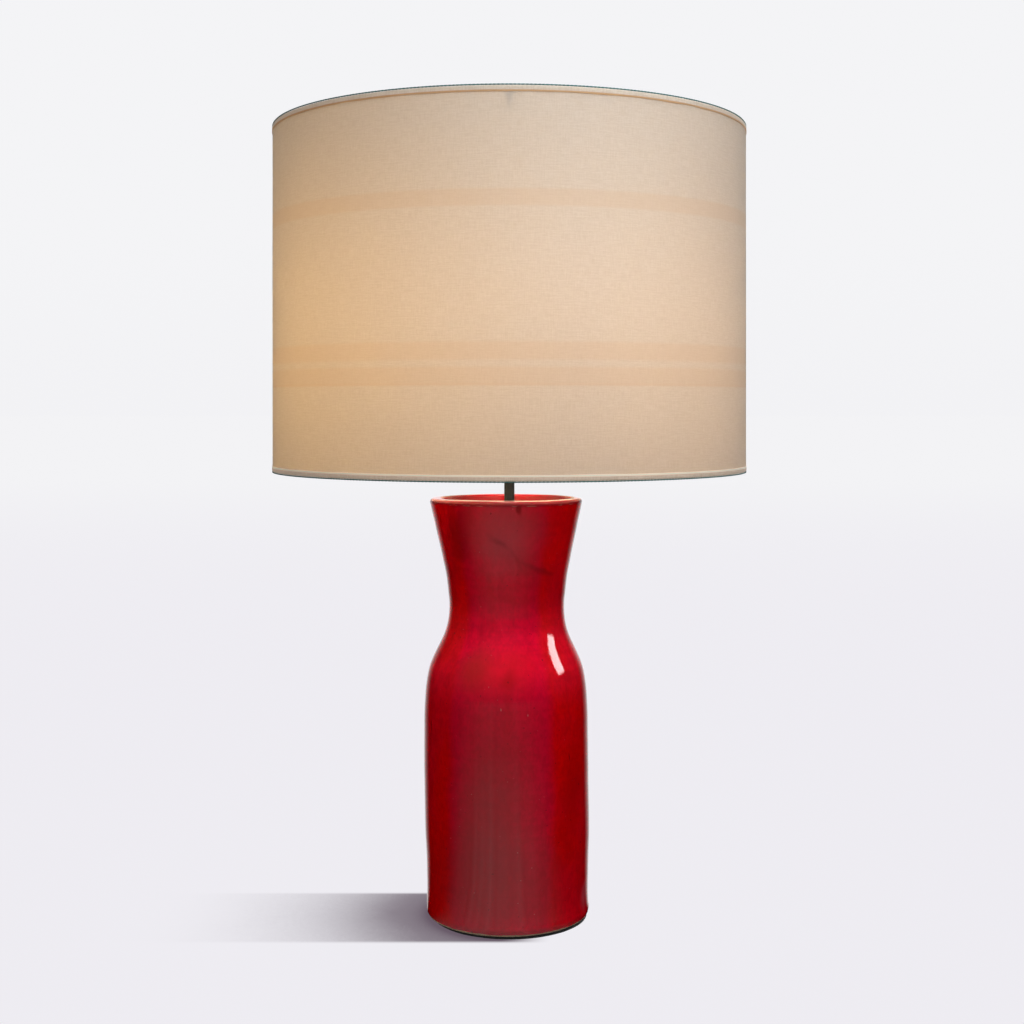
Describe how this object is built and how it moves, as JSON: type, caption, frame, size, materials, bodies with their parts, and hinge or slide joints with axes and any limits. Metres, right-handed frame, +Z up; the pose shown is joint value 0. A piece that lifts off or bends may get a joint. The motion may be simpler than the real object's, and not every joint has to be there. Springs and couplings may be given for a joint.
{
  "type": "table lamp",
  "caption": "Table lamp: glossy red ceramic vase base with a waisted neck, threaded tube, harp, turn-switch lampholder, screw bulb and a straight cream drum shade.",
  "frame": {"origin": "on the surface that the lamp stands on, under the middle of the foot", "axes": "+Z up along the lamp tube; -Y is the front, +Y the side of the cord inlet and the seam"},
  "size_m": [0.4572, 0.4572, 0.7609],
  "materials": {
    "red_glaze": "glossy cherry-red glaze, pale pink where it thins on the lip",
    "dark_felt": "dark wool felt",
    "black_rubber": "matt",
    "dark_steel": "dark, matt, threaded at both ends",
    "zinc_steel": "zinc plated",
    "black_paint": "satin",
    "nickel_steel": "nickel plated, satin",
    "plain_brass": "bare",
    "fibre_card": "dark vulcanised fibre",
    "dark_phenolic": "moulded",
    "black_plastic": "moulded, fluted",
    "solder": "dull solder",
    "black_glass": "opaque black insulator glass",
    "cap_aluminium": "rolled sheet",
    "pearl_glass": "white inside, glows warm when lit",
    "clear_glass": "clear",
    "filament_wire": "coiled tungsten wire",
    "white_paint": "white powder coat",
    "white_liner": "white styrene laminate",
    "cream_fabric": "cream slubbed linen",
    "grey_trim": "thin grey-green edge trim"
  },
  "bodies": {
    "base": {"vase": "red_glaze", "felt_pad": "dark_felt", "cord_grommet": "black_rubber", "lamp_tube": "dark_steel", "base_rubber_washer": "black_rubber", "base_washer": "zinc_steel", "base_nut": "zinc_steel", "neck_gasket": "black_rubber", "neck_disc": "black_paint", "neck_washer": "zinc_steel", "neck_nut": "zinc_steel", "saddle_nut": "zinc_steel", "harp_saddle": "nickel_steel", "socket_cap": "nickel_steel", "cap_grub_screw": "zinc_steel", "socket_shell": "nickel_steel", "socket_sleeve": "fibre_card", "socket_block": "dark_phenolic", "terminal_screws": "plain_brass", "centre_contact": "plain_brass", "screw_shell": "plain_brass", "switch_blade": "plain_brass"},
    "switch": {"switch_rotor": "dark_phenolic", "switch_spindle": "zinc_steel", "switch_knob": "black_plastic"},
    "bulb": {"bulb_contact": "solder", "bulb_insulator": "black_glass", "bulb_cap": "cap_aluminium", "bulb_glass": "pearl_glass", "bulb_mount": "clear_glass", "bulb_leads": "zinc_steel", "bulb_filament": "filament_wire"},
    "harp": {"harp_wire": "nickel_steel", "harp_top": "nickel_steel"},
    "ferrule_left": {"ferrule_left": "nickel_steel"},
    "ferrule_right": {"ferrule_right": "nickel_steel"},
    "swivel": {"swivel_stud": "nickel_steel"},
    "shade": {"spider_hub": "nickel_steel", "spider_arm_1": "nickel_steel", "spider_arm_2": "nickel_steel", "spider_arm_3": "nickel_steel", "top_ring": "white_paint", "bottom_ring": "white_paint", "shade_liner": "white_liner", "shade_fabric": "cream_fabric", "shade_seam_tape": "white_liner", "top_hem": "cream_fabric", "bottom_hem": "cream_fabric", "top_piping": "grey_trim", "bottom_piping": "grey_trim"},
    "finial": {"finial": "nickel_steel"}
  },
  "joints": [
    {"name": "switch_turn", "type": "hinge", "parent": "base", "child": "switch", "pos_m": [0, 0, 0.498], "axis": [0, -1, 0], "continuous": true},
    {"name": "bulb_unscrew", "type": "hinge", "parent": "base", "child": "bulb", "pos_m": [0, 0, 0.5114], "axis": [0, 0, 1], "range_deg": [0, 1440]},
    {"name": "harp_lift", "type": "slide", "parent": "base", "child": "harp", "axis": [0, 0, 1], "range_m": [0, 0.03]},
    {"name": "ferrule_left_lift", "type": "slide", "parent": "harp", "child": "ferrule_left", "axis": [0, 0, 1], "range_m": [0, 0.016]},
    {"name": "ferrule_right_lift", "type": "slide", "parent": "harp", "child": "ferrule_right", "axis": [0, 0, 1], "range_m": [0, 0.016]},
    {"name": "shade_turn", "type": "hinge", "parent": "harp", "child": "swivel", "pos_m": [0, 0, 0.731], "axis": [0, 0, 1], "continuous": true},
    {"name": "shade_lift", "type": "slide", "parent": "swivel", "child": "shade", "axis": [0, 0, 1], "range_m": [0, 0.02]},
    {"name": "finial_unscrew", "type": "hinge", "parent": "shade", "child": "finial", "pos_m": [0, 0, 0.737], "axis": [0, 0, 1], "range_deg": [0, 3600]}
  ]
}
